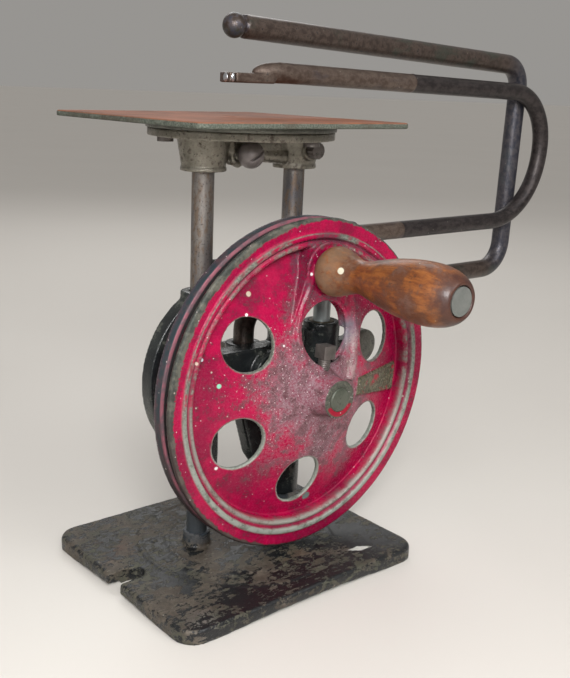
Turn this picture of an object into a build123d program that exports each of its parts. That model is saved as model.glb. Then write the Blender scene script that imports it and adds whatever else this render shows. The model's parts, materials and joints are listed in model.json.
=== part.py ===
"""Hand-cranked bench scroll saw, millimetres.

+Z is up.  X runs along the long edge of the base and along the saw frame.  Y runs along the
crankshaft, with the crank wheel on the -Y side.  The origin is the middle of the base's underside.
"""
import os
from math import cos, radians, sin, tan

from build123d import *

# ---- fits ---------------------------------------------------------------------------------
RUN = 0.05                 # radial clearance of a running or sliding fit
SIDE = 0.35                # gap between faces that move past each other

# ---- base and posts -----------------------------------------------------------------------
BASE_X, BASE_Y, BASE_T = 180.0, 147.0, 9.0
BASE_CORNER, BASE_EDGE = 14.0, 2.5
SLOT_W, SLOT_DEEP = 13.0, 20.0
FOOT_LENGTH, RELIEF, RELIEF_DEEP = 30.0, 2.2, 9.0      # the underside's edges arch between corner feet
PAD_R, PAD_H = 8.5, 9.0
RING_RADII = (45.0, 62.0)
RING_LINE, RING_H = 2.0, 0.8
BEAD_COUNT, BEAD_R = 24, 2.2
POST_R = 6.35
POST_X = (-24.0, 43.2)
POST_Y = 10.0
POST_TOP = 254.0
STUD_R = 4.75
NUT_Z, NUT_ACROSS, NUT_RECESS_R = (1.0, 5.0), 16.0, 10.5

# ---- frame casting ------------------------------------------------------------------------
SLEEVE_R = 12.0
SLEEVE_Z = ((60.0, 170.0), (29.5, 140.0))
FRAME_SCREW_Z = (150.0, 60.0)
BRIDGE_HALF = 7.0
BRIDGE_Z = (99.0, 131.0)
BEARING_R, BEARING_FRONT, BEARING_BACK = 15.5, -3.0, 15.5
BUSH_R = 9.0
GUIDE_R, GUIDE_Z = 12.0, (98.0, 140.0)
GUIDE_BUSH_R, GUIDE_BUSH_LENGTH = 8.0, 12.0
SOCKET_R, SOCKET_Z, SOCKET_SCREW_Z = 11.5, (99.0, 130.0), 122.0
LUG_X, LUG_Z, LUG_R = 108.0, 118.5, 11.5               # round end of the casting's right arm
LUG_HALF, ARM_HALF = 6.0, 7.0
RIB_HALF = 5.0             # half thickness of the bow and the brace
BOW_X, BOW_Z, BOW_OUT, BOW_IN = -5.0, 118.0, 56.7, 47.0
BRACE = ((2.0, 100.0), (14.0, 60.0), (34.0, 31.0), (44.0, 31.0), (44.0, 48.0), (26.5, 66.0), (20.0, 100.0))
SCREW_R, SCREW_HEAD, SCREW_HEAD_T = 2.55, 9.0, 5.7

# ---- crankshaft and wheel -----------------------------------------------------------------
SHAFT_X, SHAFT_Z = 24.5, 114.0
SHAFT_R = 7.1
SHAFT_FRONT, SHAFT_BACK = -60.4, 15.0
WHEEL_R = 100.0
WHEEL_FRONT, WHEEL_BACK = -34.8, -19.0
HUB_FRONT, HUB_BACK = -60.0, -20.0
HUB_R, HUB_BACK_R = 11.2, 13.5
WEB_T, WEB_SLOPE = 3.0, 0.3          # the web cone comes forward towards the hub
WEB_Y = -33.4                        # web's front face at the ring of holes
HOLE_R, HOLE_RING = 15.4, 57.4
ARM_ANGLE, ARM_REACH = 85.2, 71.3    # direction and distance of the handle from the shaft
BOSS_R, BOSS_FRONT = 15.0, -38.0
ARM_PAD_FRONT = -37.6
WINDOW_REACH, WINDOW_ALONG, WINDOW_ACROSS, WINDOW_SHIFT = 34.2, 18.8, 18.3, 2.6
PLAQUE_RISE = 1.4
PLAQUE_ENDS = ((33.0, 5.5), (79.0, 9.5))
SET_SCREW_Y, SET_SCREW_R, SET_SCREW_HEAD = -43.5, 3.4, 8.6
WASHER_R = 12.0
GRIP_BASE, GRIP_END = -38.5, -134.0
PIN_R, RIVET_R, RIVET_T = 4.0, 7.6, 2.2

# ---- eccentric drive ----------------------------------------------------------------------
CRANK_THROW = 10.0
ECC_R, ECC_ANGLE = 18.5, -60.0       # the angle is where the eccentric points as drawn
ECC_FRONT, ECC_BACK = -14.3, -5.7
ROD_FRONT, ROD_BACK = -14.0, -6.0
ROD_LENGTH, SMALL_END_R = 74.0, 7.5
WRIST_R = 4.0

# ---- saw frame and its carriage -----------------------------------------------------------
SAW_R, SAW_LOW_Z, SAW_END_X = 5.8, 193.8, 289.4
SAW_Y = POST_Y
SAW_BENDS = (50.0, 39.0)
TAB_X, TAB_Z, TAB_HALF = (-10.5, 22.0), (284.6, 290.0), 5.0
NOSE_X = (9.0, 28.0)                                   # the rod's end rounds down to the tab
NOSE_STEP, NOSE_OVERLAP = 0.15, 1.0                    # the nose is slimmer than the rod and enters it
SAW_LEG_Z, SAW_LEG_DROOP = 291.5, 0.0247               # upper leg's height at x = 0 and its slope
SLIT_W = 1.2
PLUNGER_X, PLUNGER_R, PLUNGER_LOW = 73.0, 5.6, 62.0
HEAD_R, HEAD_Z = 11.5, (170.0, 205.0)
PLUNGER_TOP = 189.0
HEAD_ARM_R, HEAD_ARM_X, HEAD_SCREW_X = 8.6, 96.0, 90.0
BAR_Y, BAR_Z = (-4.5, 0.5), (172.0, 186.0)
BAR_SCREW_R, BAR_SCREW_X = 2.0, (68.0, 78.0)
BLADE_X = -6.6
HOLDER_HALF = 6.0

# ---- overarm ------------------------------------------------------------------------------
OVERARM_R = 6.6
OVERARM_X, OVERARM_Y = 19.5, 23.5
OVERARM_FOOT, OVERARM_LOW_Z, OVERARM_END_X = 100.0, 154.8, 272.2
OVERARM_BENDS = (18.0, 20.0, 17.0)
BALL_X, BALL_Z, BALL_R = 5.7, 315.2, 7.0

# ---- table --------------------------------------------------------------------------------
TABLE_SIDE, TABLE_T, TABLE_TOP = 142.5, 3.2, 266.7
TABLE_HOLE_R = 4.0
FLANGE_X, FLANGE_R, FLANGE_Z = 2.0, 53.0, (255.5, 260.0)
FOOT_Z, FOOT_R, FOOT_TOP_R = 237.5, 12.0, 15.0
ARCH_Z = 242.5
BRACKET_SCREW_Z = 248.5
CLAMP_X, CLAMP_Y, CLAMP_Z = -2.4, -5.0, 246.7
CLAMP_R, CLAMP_TIP, CLAMP_BALL_R = 3.0, 5.2, 7.5
TABLE_SCREW_RING, TABLE_SCREW_ANGLES = 46.0, (48, 168, 288)
TABLE_SCREW_R = 2.35

OUT = "parts"
os.makedirs(OUT, exist_ok=True)


# ---- helpers ------------------------------------------------------------------------------
def box(x0, x1, y0, y1, z0, z1):
    """Box between two corners."""
    middle = ((x0 + x1) / 2, (y0 + y1) / 2, (z0 + z1) / 2)
    return Pos(*middle) * Box(x1 - x0, y1 - y0, z1 - z0)


def rod_x(y, z, x0, x1, r):
    """Cylinder along X."""
    return Pos((x0 + x1) / 2, y, z) * Rot(0, 90, 0) * Cylinder(r, x1 - x0)


def rod_y(x, z, y0, y1, r):
    """Cylinder along Y."""
    return Pos(x, (y0 + y1) / 2, z) * Rot(90, 0, 0) * Cylinder(r, y1 - y0)


def rod_z(x, y, z0, z1, r):
    """Cylinder along Z."""
    return Pos(x, y, (z0 + z1) / 2) * Cylinder(r, z1 - z0)


def tube_y(x, z, y0, y1, r, bore):
    """Ring or bush along Y."""
    return rod_y(x, z, y0, y1, r) - rod_y(x, z, y0 - 1, y1 + 1, bore)


def tube_z(x, y, z0, z1, r, bore):
    """Ring or bush along Z."""
    return rod_z(x, y, z0, z1, r) - rod_z(x, y, z0 - 1, z1 + 1, bore)


def polar(reach, angle):
    """Point in the wheel's plane, measured from the shaft."""
    return SHAFT_X + reach * cos(radians(angle)), SHAFT_Z + reach * sin(radians(angle))


def turned_y(x, z, profile):
    """Solid of revolution about a Y axis from (radius, y) points."""
    face = make_face(Polyline(*profile, close=True))
    return Pos(x, 0, z) * revolve(face, Axis.Y)


def plate_y(points, y0, y1):
    """Plate in the XZ plane, from its outline, between two Y values."""
    outline = make_face(Polyline(*[(x, y1, z) for x, z in points], close=True))
    return extrude(outline, amount=y1 - y0, dir=(0, -1, 0))


def bent_rod(points, bends, r, y):
    """Round rod in the plane Y = y, with a bend radius at each inner point."""
    corners = [Vector(x, y, z) for x, z in points]
    edges = []
    start = corners[0]
    for i, bend in enumerate(bends, start=1):
        corner = corners[i]
        before = (corners[i - 1] - corner).normalized()
        after = (corners[i + 1] - corner).normalized()
        half = radians(before.get_angle(after)) / 2
        centre = corner + (before + after).normalized() * (bend / sin(half))
        arc_start = corner + before * (bend / tan(half))
        arc_middle = centre + (corner - centre).normalized() * bend
        arc_end = corner + after * (bend / tan(half))
        edges.append(Edge.make_line(start, arc_start))
        edges.append(Edge.make_three_point_arc(arc_start, arc_middle, arc_end))
        start = arc_end
    edges.append(Edge.make_line(start, corners[-1]))
    path = Wire(edges)
    section = Plane(origin=corners[0], z_dir=path % 0) * Circle(r)
    return sweep(section, path=path)


def square_screw_y(x, z, tip, seat):
    """Square-headed screw along Y whose head is on the +Y side of its seat."""
    half = SCREW_HEAD / 2
    head = box(x - half, x + half, seat, seat + SCREW_HEAD_T, z - half, z + half)
    return head + rod_y(x, z, tip, seat, SCREW_R)


def save(name, solid):
    """Write one sub-part."""
    export_step(solid, f"{OUT}/{name}.step")


# ---- base and posts -----------------------------------------------------------------------
def base_plate():
    """Cast plate with two open clamp slots, post pads and a ring of raised beads."""
    plate = extrude(RectangleRounded(BASE_X, BASE_Y, BASE_CORNER), BASE_T)
    plate = fillet(plate.edges().group_by(Axis.Z)[-1], BASE_EDGE)
    for side in (-1, 1):
        inner = side * (BASE_X / 2 - SLOT_DEEP + SLOT_W / 2)
        x0, x1 = sorted((inner, side * BASE_X))
        plate -= box(x0, x1, -SLOT_W / 2, SLOT_W / 2, -1, BASE_T + 1)
        plate -= rod_z(inner, 0, -1, BASE_T + 1, SLOT_W / 2)
    plate -= edge_relief()
    for radius in RING_RADII:
        plate += tube_z(0, 0, BASE_T - 0.2, BASE_T + RING_H, radius, radius - RING_LINE)
    bead_ring = (sum(RING_RADII) - RING_LINE) / 2
    beads = box(-BASE_X, BASE_X, -BASE_Y, BASE_Y, BASE_T - 1, BASE_T + RING_H)
    for k in range(BEAD_COUNT):
        angle = radians(360 * k / BEAD_COUNT)
        plate += Pos(bead_ring * cos(angle), bead_ring * sin(angle), BASE_T) * Sphere(BEAD_R) & beads
    for x in POST_X:
        plate += rod_z(x, POST_Y, BASE_T - 1, BASE_T + PAD_H, PAD_R)
        plate -= rod_z(x, POST_Y, -1, BASE_T + PAD_H + 1, STUD_R + RUN)
        plate -= rod_z(x, POST_Y, -1, NUT_Z[1], NUT_RECESS_R)
    return plate


def edge_relief():
    """Shallow arches under the four edges, which leave a foot at each corner."""
    arches = []
    for length, width, rod in ((BASE_X, BASE_Y, rod_y), (BASE_Y, BASE_X, rod_x)):
        half = length / 2 - FOOT_LENGTH
        radius = (half ** 2 + RELIEF ** 2) / (2 * RELIEF)
        inner, outer = width / 2 - RELIEF_DEEP, width / 2 + 1
        for y0, y1 in ((-outer, -inner), (inner, outer)):
            arches.append(rod(0, RELIEF - radius, y0, y1, radius))
    return arches


def post(x):
    """Steel post with a reduced stud that passes through the base."""
    body = rod_z(x, POST_Y, BASE_T + PAD_H, POST_TOP, POST_R)
    body = chamfer(body.edges().group_by(Axis.Z)[-1], 0.8)
    return body + rod_z(x, POST_Y, 0.6, BASE_T + PAD_H, STUD_R)


def post_nut(x):
    """Hexagonal nut in the recess under the base."""
    low, high = NUT_Z
    nut = Pos(x, POST_Y, low) * extrude(RegularPolygon(NUT_ACROSS / 2, 6, major_radius=False), high - low)
    return nut - rod_z(x, POST_Y, low - 1, high + 1, STUD_R + RUN)


# ---- frame casting ------------------------------------------------------------------------
def frame_casting():
    """Casting clamped to both posts: bearing, plunger guide, brace, bow and overarm socket."""
    left, right = POST_X
    rib = (POST_Y - RIB_HALF, POST_Y + RIB_HALF)
    bridge_back = POST_Y + BRIDGE_HALF
    body = box(left, right, POST_Y - BRIDGE_HALF, bridge_back, *BRIDGE_Z)
    for x, sleeve, screw_z in zip(POST_X, SLEEVE_Z, FRAME_SCREW_Z):
        body += rod_z(x, POST_Y, *sleeve, SLEEVE_R)
        body += rod_y(x, screw_z, POST_Y + POST_R + 1, POST_Y + 16.0, 5.5)
    body += rod_y(SHAFT_X, SHAFT_Z, BEARING_FRONT, bridge_back, BEARING_R)
    body += rod_z(PLUNGER_X, POST_Y, *GUIDE_Z, GUIDE_R)
    body += box(right, PLUNGER_X, *rib, GUIDE_Z[0] + 4, GUIDE_Z[1] - 4)
    body += box(PLUNGER_X, LUG_X, *rib, LUG_Z - ARM_HALF, LUG_Z + ARM_HALF)
    body += rod_y(LUG_X, LUG_Z, POST_Y - LUG_HALF, POST_Y + LUG_HALF, LUG_R)
    body += rod_z(OVERARM_X, OVERARM_Y, *SOCKET_Z, SOCKET_R)
    body += plate_y(BRACE, *rib)
    bow = tube_y(BOW_X, BOW_Z, *rib, BOW_OUT, BOW_IN)
    body += bow & box(BOW_X - BOW_OUT, left, *rib, *SLEEVE_Z[0])
    for x, sleeve, screw_z in zip(POST_X, SLEEVE_Z, FRAME_SCREW_Z):
        body -= rod_z(x, POST_Y, sleeve[0] - 1, sleeve[1] + 1, POST_R + RUN)
        body -= rod_y(x, screw_z, POST_Y, POST_Y + 17, SCREW_R + RUN)
    body -= rod_y(SHAFT_X, SHAFT_Z, BEARING_FRONT - 1, BEARING_BACK, BUSH_R)
    body -= rod_z(PLUNGER_X, POST_Y, GUIDE_Z[0] - 1, GUIDE_Z[1] + 1, GUIDE_BUSH_R)
    body -= rod_z(OVERARM_X, OVERARM_Y, SOCKET_Z[0] - 1, SOCKET_Z[1] + 1, OVERARM_R + RUN)
    socket_back = OVERARM_Y + SOCKET_R
    return body - rod_y(OVERARM_X, SOCKET_SCREW_Z, OVERARM_Y, socket_back + 1, SCREW_R + RUN)


def guide_bush(z0):
    """Bronze bush of the plunger, one at each end of the guide."""
    return tube_z(PLUNGER_X, POST_Y, z0, z0 + GUIDE_BUSH_LENGTH, GUIDE_BUSH_R, PLUNGER_R + RUN)


# ---- crank wheel and what turns with it ---------------------------------------------------
def web_front(r):
    """Y of the web's front face at a radius."""
    return WEB_Y + WEB_SLOPE * (r - HOLE_RING)


def web_back(r):
    """Y of the web's back face at a radius."""
    return web_front(r) + WEB_T


def crank_wheel():
    """Cast wheel: hub, conical web with six openings, beaded rim with a round belt groove."""
    hub = [(SHAFT_R, HUB_FRONT), (HUB_R, HUB_FRONT), (HUB_R + 0.8, -52.0), (14.0, -47.0)]
    web = [(20.0, web_front(20.0)), (82.5, web_front(82.5))]
    rim = [(83.2, -31.5), (84.5, -33.6), (85.8, -33.6), (86.6, -32.4), (87.8, -32.4), (88.8, WHEEL_FRONT),
           (91.4, WHEEL_FRONT), (92.4, -33.6), (98.6, -33.6), (WHEEL_R, -32.8), (WHEEL_R, -31.2)]
    groove = [(94.0, -29.2), (93.0, -28.0), (94.0, -26.8), (WHEEL_R, -25.2)]
    back = [(WHEEL_R, WHEEL_BACK), (87.0, WHEEL_BACK), (84.0, web_back(84.0)), (22.0, web_back(22.0)),
            (HUB_BACK_R, -38.0), (HUB_BACK_R, HUB_BACK), (SHAFT_R, HUB_BACK)]
    wheel = turned_y(SHAFT_X, SHAFT_Z, hub + web + rim + groove + back)
    grip_x, grip_z = polar(ARM_REACH, ARM_ANGLE)
    seat = web_back(ARM_REACH)
    wheel += rod_y(grip_x, grip_z, BOSS_FRONT, seat, BOSS_R)
    wheel += crank_arm_pad()
    wheel += plaque()
    for k in range(1, 6):
        x, z = polar(HOLE_RING, ARM_ANGLE + 60 * k)
        wheel -= rod_y(x, z, HUB_FRONT, WHEEL_BACK, HOLE_R)
    wheel -= arm_window()
    wheel -= rod_y(grip_x, grip_z, BOSS_FRONT - 1, WHEEL_BACK, PIN_R)
    wheel -= rod_y(grip_x, grip_z, seat, WHEEL_BACK, 6.5)
    return wheel - arm_plane(SET_SCREW_Y) * Pos(0, 0, 12) * Cylinder(SET_SCREW_R, 14)


def crank_arm_pad():
    """Raised pad that runs from the hub's cone to the handle boss."""
    near, far = (36.0, 24.0), (ARM_REACH, BOSS_R - 0.5)
    points = []
    for (reach, half), sides in ((near, (-1, 1)), (far, (1, -1))):
        x, z = polar(reach, ARM_ANGLE)
        for side in sides:
            turn = radians(ARM_ANGLE)
            points.append((x - side * half * sin(turn), z + side * half * cos(turn)))
    return plate_y(points, ARM_PAD_FRONT, -30.5)


def arm_window():
    """Large rounded opening in the crank arm, next to the hub and a little to its right."""
    x, z = polar(WINDOW_REACH, ARM_ANGLE)
    x += WINDOW_SHIFT * sin(radians(ARM_ANGLE))
    z -= WINDOW_SHIFT * cos(radians(ARM_ANGLE))
    out = (cos(radians(ARM_ANGLE)), 0, sin(radians(ARM_ANGLE)))
    plane = Plane(origin=(x, WHEEL_BACK + 4, z), x_dir=out, z_dir=(0, -1, 0))
    return extrude(plane * Ellipse(WINDOW_ALONG, WINDOW_ACROSS), 40)


def plaque():
    """Blank raised plaque on the web, at a right angle to the arm and wider towards the rim."""
    turn = radians(ARM_ANGLE - 90)
    points = []
    for (reach, half), sides in zip(PLAQUE_ENDS, ((-1, 1), (1, -1))):
        x, z = polar(reach, ARM_ANGLE - 90)
        for side in sides:
            points.append((x - side * half * sin(turn), z + side * half * cos(turn)))
    low, high = 12.0, 82.0
    skin = [(low, web_front(low) - PLAQUE_RISE), (high, web_front(high) - PLAQUE_RISE),
            (high, web_front(high) + 1), (low, web_front(low) + 1)]
    return plate_y(points, -50.0, WHEEL_BACK) & turned_y(SHAFT_X, SHAFT_Z, skin)


def arm_plane(y):
    """Plane on the shaft axis whose Z runs out along the crank arm."""
    out = (cos(radians(ARM_ANGLE)), 0, sin(radians(ARM_ANGLE)))
    return Plane(origin=(SHAFT_X, y, SHAFT_Z), x_dir=(0, 1, 0), z_dir=out)


def hub_set_screw():
    """Square-headed set screw that locks the wheel on the shaft."""
    neck, top = 20.5, 28.5
    shank = Pos(0, 0, (SHAFT_R + neck) / 2) * Cylinder(SET_SCREW_R, neck - SHAFT_R)
    head = Pos(0, 0, (neck + top) / 2) * Box(SET_SCREW_HEAD, SET_SCREW_HEAD, top - neck)
    return arm_plane(SET_SCREW_Y) * (shank + head)


def crankshaft():
    """Steel shaft from the wheel's hub to the blind end of the bearing."""
    shaft = rod_y(SHAFT_X, SHAFT_Z, SHAFT_FRONT, SHAFT_BACK, SHAFT_R)
    return chamfer(shaft.edges().filter_by(GeomType.CIRCLE), 0.6)


def eccentric():
    """Round cam fixed on the crankshaft."""
    x, z = polar(CRANK_THROW, ECC_ANGLE)
    cam = rod_y(x, z, ECC_FRONT, ECC_BACK, ECC_R)
    return cam - rod_y(SHAFT_X, SHAFT_Z, ECC_FRONT - 1, ECC_BACK + 1, SHAFT_R)


def handle_pin():
    """Steel pin of the handle, riveted over at both ends."""
    x, z = polar(ARM_REACH, ARM_ANGLE)
    rivet = GRIP_END + 0.4
    seat = web_back(ARM_REACH)
    pin = rod_y(x, z, rivet, rivet + RIVET_T, RIVET_R)
    pin += rod_y(x, z, rivet, seat, PIN_R)
    return pin + rod_y(x, z, seat, seat + 1.7, 6.0)


def handle_grip():
    """Turned wooden grip with a bead next to the wheel and a swelling for the palm."""
    x, z = polar(ARM_REACH, ARM_ANGLE)
    shape = [(0.0, 11.5), (3.0, 13.6), (7.0, 14.3), (12.0, 13.2), (18.5, 11.0), (25.5, 9.3), (35.0, 10.8),
             (45.5, 13.4), (56.0, 15.3), (69.5, 16.5), (79.5, 16.3), (87.0, 14.8), (92.5, 12.4), (95.5, 9.8)]
    outline = Spline(*[(r, GRIP_BASE - along) for along, r in shape])
    foot = Line((0, GRIP_BASE), (shape[0][1], GRIP_BASE))
    end = Line((shape[-1][1], GRIP_END), (0, GRIP_END))
    axis = Line((0, GRIP_END), (0, GRIP_BASE))
    grip = Pos(x, 0, z) * revolve(make_face([foot, outline, end, axis]), Axis.Y)
    grip -= rod_y(x, z, GRIP_END - 1, GRIP_BASE + 1, PIN_R + RUN)
    return grip - rod_y(x, z, GRIP_END - 1, GRIP_END + 0.4 + RIVET_T + SIDE, RIVET_R + 0.6)


# ---- connecting rod -----------------------------------------------------------------------
def small_end():
    """Centre of the connecting rod's small end."""
    x, z = polar(CRANK_THROW, ECC_ANGLE)
    return SHAFT_X, z + (ROD_LENGTH ** 2 - (x - SHAFT_X) ** 2) ** 0.5


def connecting_rod():
    """Strap round the eccentric, shank and small end in one casting."""
    big_x, big_z = polar(CRANK_THROW, ECC_ANGLE)
    end_x, end_z = small_end()
    rod = rod_y(big_x, big_z, ROD_FRONT, ROD_BACK, ECC_R + 5.0)
    rod += rod_y(end_x, end_z, ROD_FRONT, ROD_BACK, SMALL_END_R)
    shank = [(big_x - 5, big_z), (end_x - 4, end_z), (end_x + 4, end_z), (big_x + 5, big_z)]
    rod += plate_y(shank, ROD_FRONT + 1.5, ROD_BACK - 1.5)
    rod -= rod_y(big_x, big_z, ROD_FRONT - 1, ROD_BACK + 1, ECC_R + RUN)
    return rod - rod_y(end_x, end_z, ROD_FRONT - 1, ROD_BACK + 1, WRIST_R)


def wrist_pin():
    """Pin in the small end.  It stops short of the bar behind it."""
    x, z = small_end()
    return rod_y(x, z, ROD_FRONT, BAR_Y[0] - 2 * SIDE, WRIST_R) + rod_y(x, z, ROD_FRONT - 2.8, ROD_FRONT, 6.0)


# ---- saw frame and its carriage -----------------------------------------------------------
def saw_leg_z(x):
    """Height of the saw frame's upper leg, which droops a little towards the bend."""
    return SAW_LEG_Z - x * SAW_LEG_DROOP


def saw_frame():
    """C-shaped rod whose upper end is flattened and slit for the blade."""
    points = [(PLUNGER_X + 8.0, SAW_LOW_Z), (SAW_END_X, SAW_LOW_Z)]
    points += [(x, saw_leg_z(x)) for x in (SAW_END_X, NOSE_X[1] - NOSE_OVERLAP)]
    frame = bent_rod(points, SAW_BENDS, SAW_R, SAW_Y)
    frame += saw_nose()
    frame += box(*TAB_X, SAW_Y - TAB_HALF, SAW_Y + TAB_HALF, *TAB_Z)
    slit = (BLADE_X - SLIT_W / 2, BLADE_X + SLIT_W / 2)
    return frame - box(*slit, SAW_Y - TAB_HALF - 1, SAW_Y + 2.0, TAB_Z[0] - 1, TAB_Z[1] + 1)


def saw_nose():
    """Rounded end of the upper leg, a quarter ellipse turned about the rod's axis."""
    tip, root = NOSE_X
    radius = SAW_R - NOSE_STEP
    curve = EllipticalCenterArc((root, 0), root - tip, radius, 90, arc_size=90)
    half = make_face([Line((tip, 0), (root, 0)), Line((root, 0), (root, radius)), curve])
    return Pos(0, SAW_Y, saw_leg_z(root)) * revolve(half, Axis.X)


def plunger_rod():
    """Vertical steel rod that carries the crosshead and slides in the frame's guide."""
    rod = rod_z(PLUNGER_X, POST_Y, PLUNGER_LOW, PLUNGER_TOP, PLUNGER_R)
    return chamfer(rod.edges().group_by(Axis.Z)[0], 0.8)


def crosshead():
    """Clamp block that joins the plunger, the saw frame and the blade bar."""
    x, y = PLUNGER_X, POST_Y
    block = rod_z(x, y, *HEAD_Z, HEAD_R)
    block += rod_x(SAW_Y, SAW_LOW_Z, x, HEAD_ARM_X, HEAD_ARM_R)
    block += box(x - 9, x + 9, BAR_Y[1], y, *BAR_Z)
    block -= box(x - 20, x + 20, BAR_Y[1] - 20, BAR_Y[1], HEAD_Z[0] - 1, HEAD_Z[1] + 1)
    block -= rod_z(x, y, HEAD_Z[0] - 1, PLUNGER_TOP, PLUNGER_R)
    block -= rod_x(SAW_Y, SAW_LOW_Z, x + 8.0, HEAD_ARM_X + 1, SAW_R)
    for screw_x in BAR_SCREW_X:
        block -= rod_y(screw_x, sum(BAR_Z) / 2, BAR_Y[1] - 1, 3.5, BAR_SCREW_R)
    return block - rod_y(HEAD_SCREW_X, SAW_LOW_Z, SAW_Y, SAW_Y + HEAD_ARM_R + 1, SCREW_R + RUN)


def blade_bar():
    """Flat bar from the crosshead, past the front of the right post, to the blade's lower holder."""
    bar = box(BLADE_X - HOLDER_HALF, PLUNGER_X + 9, *BAR_Y, *BAR_Z)
    for x in (BLADE_X, *BAR_SCREW_X):
        bar -= rod_y(x, sum(BAR_Z) / 2, BAR_Y[0] - 1, BAR_Y[1] + 1, BAR_SCREW_R)
    end_x, end_z = small_end()
    return bar - rod_y(end_x, end_z, BAR_Y[0] - 1, BAR_Y[1] + 1, WRIST_R + RUN)


def bar_screw(x):
    """Round-headed screw of the blade bar."""
    z = sum(BAR_Z) / 2
    return rod_y(x, z, BAR_Y[0], 3.0, BAR_SCREW_R) + rod_y(x, z, BAR_Y[0] - 2.4, BAR_Y[0], 3.6)


def blade_holder():
    """Slit block under the table that takes the blade's lower end."""
    block = box(BLADE_X - HOLDER_HALF, BLADE_X + HOLDER_HALF, BAR_Y[1], POST_Y + HOLDER_HALF, *BAR_Z)
    slit = (BLADE_X - SLIT_W / 2, BLADE_X + SLIT_W / 2)
    block -= box(*slit, POST_Y - 3, POST_Y + HOLDER_HALF + 1, BAR_Z[0] + 3, BAR_Z[1] + 1)
    return block - rod_y(BLADE_X, sum(BAR_Z) / 2, BAR_Y[1] - 1, 3.0, BAR_SCREW_R)


# ---- overarm ------------------------------------------------------------------------------
def overarm():
    """Heavy C-shaped rod with a ball end, standing in the frame's vertical socket."""
    points = [(OVERARM_X, OVERARM_FOOT), (OVERARM_X, OVERARM_LOW_Z), (OVERARM_END_X, OVERARM_LOW_Z),
              (OVERARM_END_X, 303.5), (BALL_X + 6.0, BALL_Z - 0.2)]
    rod = bent_rod(points, OVERARM_BENDS, OVERARM_R, OVERARM_Y)
    neck = rod_x(OVERARM_Y, BALL_Z, BALL_X, BALL_X + 10.0, 4.6)
    return rod + neck + Pos(BALL_X, OVERARM_Y, BALL_Z) * Sphere(BALL_R)


# ---- table --------------------------------------------------------------------------------
def table_screw_places():
    """Three screws on a circle under the table."""
    turns = [radians(a) for a in TABLE_SCREW_ANGLES]
    return [(FLANGE_X + TABLE_SCREW_RING * cos(a), POST_Y + TABLE_SCREW_RING * sin(a)) for a in turns]


def table_bracket():
    """Casting on top of the posts: two tapered bosses, an arched bridge and a round flange."""
    low, high = FLANGE_Z
    front = POST_Y - BRIDGE_HALF
    body = rod_z(FLANGE_X, POST_Y, low, high, FLANGE_R)
    body += box(*POST_X, front, POST_Y + BRIDGE_HALF, ARCH_Z, low + 1)
    for x in POST_X:
        body += Pos(x, POST_Y, (FOOT_Z + low) / 2) * Cone(FOOT_R, FOOT_TOP_R, low - FOOT_Z)
        body += rod_z(x, POST_Y, FOOT_Z, FOOT_Z + 2.0, FOOT_R + 1)
    body += rod_y(POST_X[1], BRACKET_SCREW_Z, POST_Y - 15, POST_Y, 6.0)
    for x in POST_X:
        body -= rod_z(x, POST_Y, FOOT_Z - 1, POST_TOP + 2 * SIDE, POST_R + RUN)
    body -= rod_z(BLADE_X, POST_Y, ARCH_Z - 1, high + 1, TABLE_HOLE_R)
    body -= rod_y(CLAMP_X, CLAMP_Z, front - 1, CLAMP_TIP + 0.2, CLAMP_R + RUN)
    body -= rod_y(POST_X[1], BRACKET_SCREW_Z, POST_Y - 16, POST_Y, SCREW_R + RUN)
    for x, y in table_screw_places():
        body -= rod_z(x, y, low - 1, high + 1, TABLE_SCREW_R + RUN)
    return body


def table_clamp_screw():
    """Ball-headed screw with a driver slot, in the middle of the bridge."""
    reach = CLAMP_BALL_R + 1
    back = POST_Y - BRIDGE_HALF - SIDE
    head = Pos(CLAMP_X, CLAMP_Y, CLAMP_Z) * Sphere(CLAMP_BALL_R)
    head &= box(CLAMP_X - reach, CLAMP_X + reach, CLAMP_Y - reach, back, CLAMP_Z - reach, CLAMP_Z + reach)
    head += rod_y(CLAMP_X, CLAMP_Z, CLAMP_Y, CLAMP_TIP, CLAMP_R)
    return head - Pos(CLAMP_X, CLAMP_Y - CLAMP_BALL_R, CLAMP_Z) * Rot(0, -35, 0) * Box(20, 5.0, 1.4)


def bracket_screw():
    """Small clamp screw in the right boss.  Its tip stops just short of the post."""
    x, z = POST_X[1], BRACKET_SCREW_Z
    seat = POST_Y - 15.2
    return rod_y(x, z, seat, POST_Y - POST_R - SIDE, SCREW_R) + rod_y(x, z, seat - 5.8, seat, 4.6)


def table_screw(x, y):
    """Round-headed screw from below."""
    low = FLANGE_Z[0]
    return rod_z(x, y, low - 2.6, low, 4.5) + rod_z(x, y, low, TABLE_TOP - TABLE_T, TABLE_SCREW_R)


def table_plate():
    """Thin steel disc between the flange and the table."""
    low, high = FLANGE_Z[1], TABLE_TOP - TABLE_T
    disc = rod_z(FLANGE_X, POST_Y, low, high, FLANGE_R + 1)
    disc -= rod_z(BLADE_X, POST_Y, low - 1, high + 1, TABLE_HOLE_R)
    for x, y in table_screw_places():
        disc -= rod_z(x, y, low - 1, high + 1, TABLE_SCREW_R + RUN)
    return disc


def table_top():
    """Square steel table with a blade hole in the middle."""
    plate = extrude(RectangleRounded(TABLE_SIDE, TABLE_SIDE, 5.0), TABLE_T)
    plate = fillet(plate.edges().group_by(Axis.Z)[-1], 0.8)
    low = TABLE_TOP - TABLE_T
    return Pos(BLADE_X, POST_Y, low) * plate - rod_z(BLADE_X, POST_Y, low - 1, TABLE_TOP + 1, TABLE_HOLE_R)


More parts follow.
